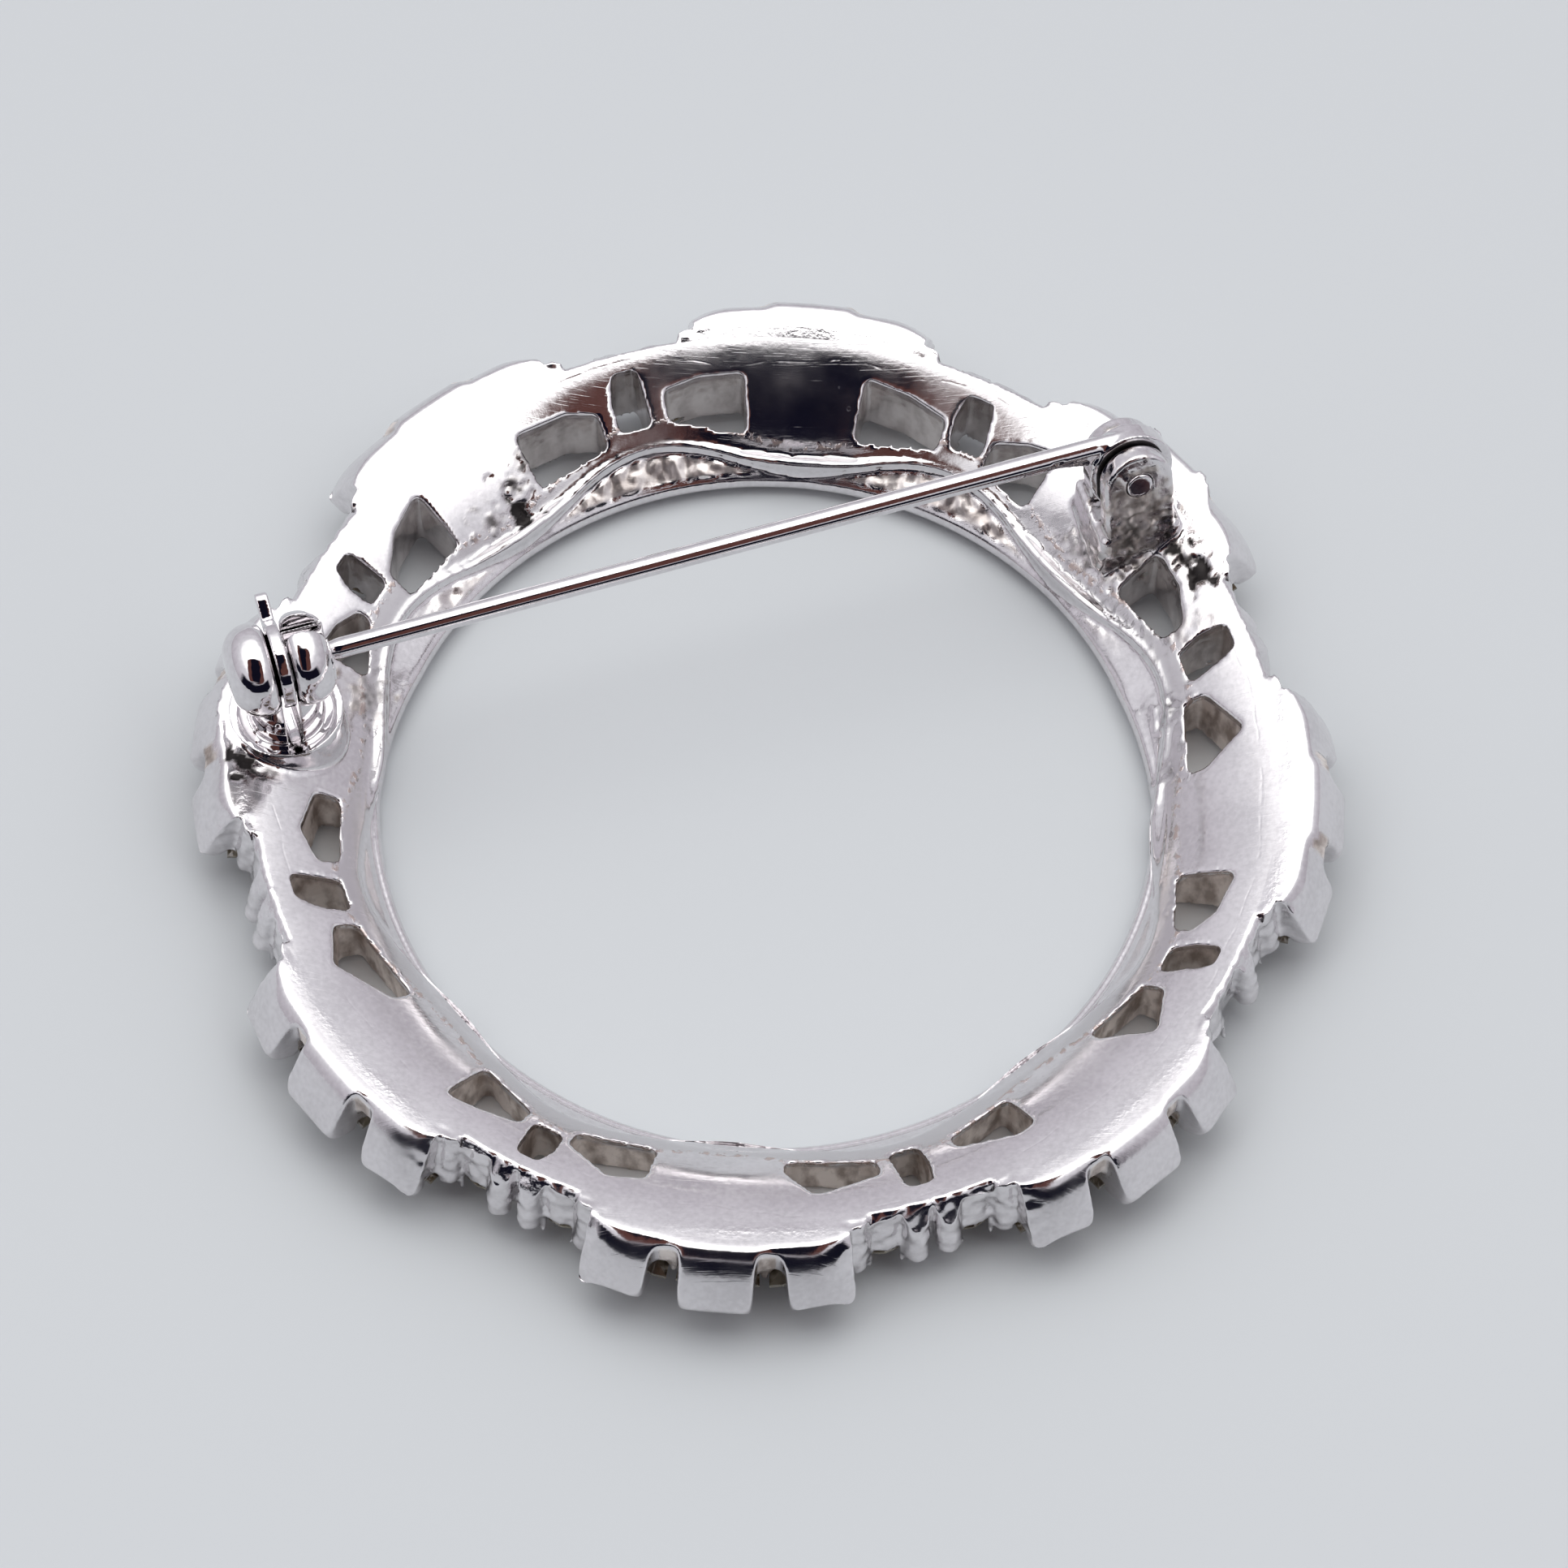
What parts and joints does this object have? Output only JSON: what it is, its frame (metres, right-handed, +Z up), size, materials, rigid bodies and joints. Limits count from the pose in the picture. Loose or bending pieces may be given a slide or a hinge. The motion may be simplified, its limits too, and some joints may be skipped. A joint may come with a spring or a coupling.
{
  "type": "circle pin brooch",
  "caption": "Open ring brooch of bright white metal, lying face down, with set stones, a domed pierced back, a hinged pin and a turning safety catch.",
  "frame": {"origin": "centre of the ring, on the surface that the brooch lies on face down", "axes": "+Z up out of the back; +X to the right and +Y away from the viewer as the picture shows the back; the pin runs from the hinge at +X +Y to the catch at -X"},
  "size_m": [0.0418, 0.0418, 0.0089],
  "materials": {
    "white_gold": "bright rhodium polish with fine scratches",
    "baguette_stone": "polished facets",
    "round_stone": "polished facets",
    "small_stone": "polished facets"
  },
  "bodies": {
    "frame": {"ring_frame": "white_gold", "hinge_rivet": "white_gold", "rail_stones": "small_stone", "baguette_01": "baguette_stone", "baguette_02": "baguette_stone", "baguette_03": "baguette_stone", "baguette_04": "baguette_stone", "baguette_05": "baguette_stone", "baguette_06": "baguette_stone", "baguette_07": "baguette_stone", "baguette_08": "baguette_stone", "baguette_09": "baguette_stone", "baguette_10": "baguette_stone", "baguette_11": "baguette_stone", "baguette_12": "baguette_stone", "baguette_13": "baguette_stone", "baguette_14": "baguette_stone", "baguette_15": "baguette_stone", "baguette_16": "baguette_stone", "baguette_17": "baguette_stone", "baguette_18": "baguette_stone", "baguette_19": "baguette_stone", "baguette_20": "baguette_stone", "baguette_21": "baguette_stone", "baguette_22": "baguette_stone", "baguette_23": "baguette_stone", "baguette_24": "baguette_stone", "round_01": "round_stone", "round_02": "round_stone", "round_03": "round_stone", "round_04": "round_stone", "round_05": "round_stone", "round_06": "round_stone", "round_07": "round_stone", "round_08": "round_stone", "round_09": "round_stone", "round_10": "round_stone", "round_11": "round_stone", "round_12": "round_stone", "round_13": "round_stone", "round_14": "round_stone", "round_15": "round_stone", "round_16": "round_stone"},
    "pin": {"pin_stem": "white_gold"},
    "catch": {"catch_sleeve": "white_gold"}
  },
  "joints": [
    {"name": "pin_swing", "type": "hinge", "parent": "frame", "child": "pin", "pos_m": [0.01287, 0.01143, 0.00603], "axis": [-0.3159, 0.8971, -0.309], "range_deg": [0, 75]},
    {"name": "catch_turn", "type": "hinge", "parent": "frame", "child": "catch", "pos_m": [-0.0173, 0.0012, 0.00717], "axis": [0.9432, 0.3322, 0], "range_deg": [0, 90]}
  ]
}
